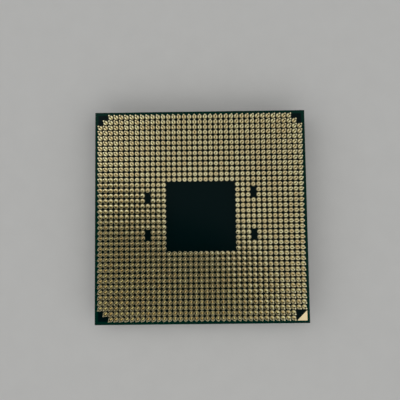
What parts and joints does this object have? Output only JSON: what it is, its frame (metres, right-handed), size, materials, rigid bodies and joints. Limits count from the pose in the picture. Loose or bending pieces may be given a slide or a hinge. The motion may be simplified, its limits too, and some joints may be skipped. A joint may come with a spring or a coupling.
{
  "type": "computer processor",
  "caption": "Square computer processor: a dark green laminate board with a flat metal lid on its lower face and a keyed grid of gold contact pins on its upper face.",
  "frame": {"origin": "middle of the lid's outer face, which the part rests on", "axes": "+Z out of the pin side, +X along the pin rows, with the gold triangle at the +X, -Y corner"},
  "size_m": [0.04, 0.04, 0.0063],
  "materials": {
    "solder_mask_laminate": "glossy dark green solder mask",
    "nickel_plated_copper": "satin nickel plating",
    "silicone_sealant": "matt cured silicone",
    "silicon": "polished silicon",
    "underfill_epoxy": "cured epoxy",
    "indium_solder": "soft solder",
    "capacitor_ceramic": "fired ceramic",
    "tinned_terminal": "tin plating",
    "tin_solder": "dull reflowed tin solder",
    "gold_plating": "bright gold plating over nickel"
  },
  "bodies": {
    "root": {"package_substrate": "solder_mask_laminate", "heat_spreader": "nickel_plated_copper", "lid_sealant": "silicone_sealant", "silicon_die": "silicon", "die_underfill": "underfill_epoxy", "thermal_solder": "indium_solder", "capacitor_bodies": "capacitor_ceramic", "capacitor_terminals": "tinned_terminal", "pin_one_marker": "gold_plating", "lid_side_marker": "gold_plating", "pin_solder": "tin_solder", "pin_row_a": "gold_plating", "pin_row_b": "gold_plating", "pin_row_c": "gold_plating", "pin_row_d": "gold_plating", "pin_row_e": "gold_plating", "pin_row_f": "gold_plating", "pin_row_g": "gold_plating", "pin_row_h": "gold_plating", "pin_row_j": "gold_plating", "pin_row_k": "gold_plating", "pin_row_l": "gold_plating", "pin_row_m": "gold_plating", "pin_row_n": "gold_plating", "pin_row_p": "gold_plating", "pin_row_r": "gold_plating", "pin_row_t": "gold_plating", "pin_row_u": "gold_plating", "pin_row_v": "gold_plating", "pin_row_w": "gold_plating", "pin_row_y": "gold_plating", "pin_row_aa": "gold_plating", "pin_row_ab": "gold_plating", "pin_row_ac": "gold_plating", "pin_row_ad": "gold_plating", "pin_row_ae": "gold_plating", "pin_row_af": "gold_plating", "pin_row_ag": "gold_plating", "pin_row_ah": "gold_plating", "pin_row_aj": "gold_plating", "pin_row_ak": "gold_plating", "pin_row_al": "gold_plating", "pin_row_am": "gold_plating", "pin_row_an": "gold_plating", "pin_row_ap": "gold_plating", "pin_row_ar": "gold_plating", "pin_row_at": "gold_plating", "pin_row_au": "gold_plating", "pin_row_av": "gold_plating", "pin_row_aw": "gold_plating"}
  },
  "joints": []
}
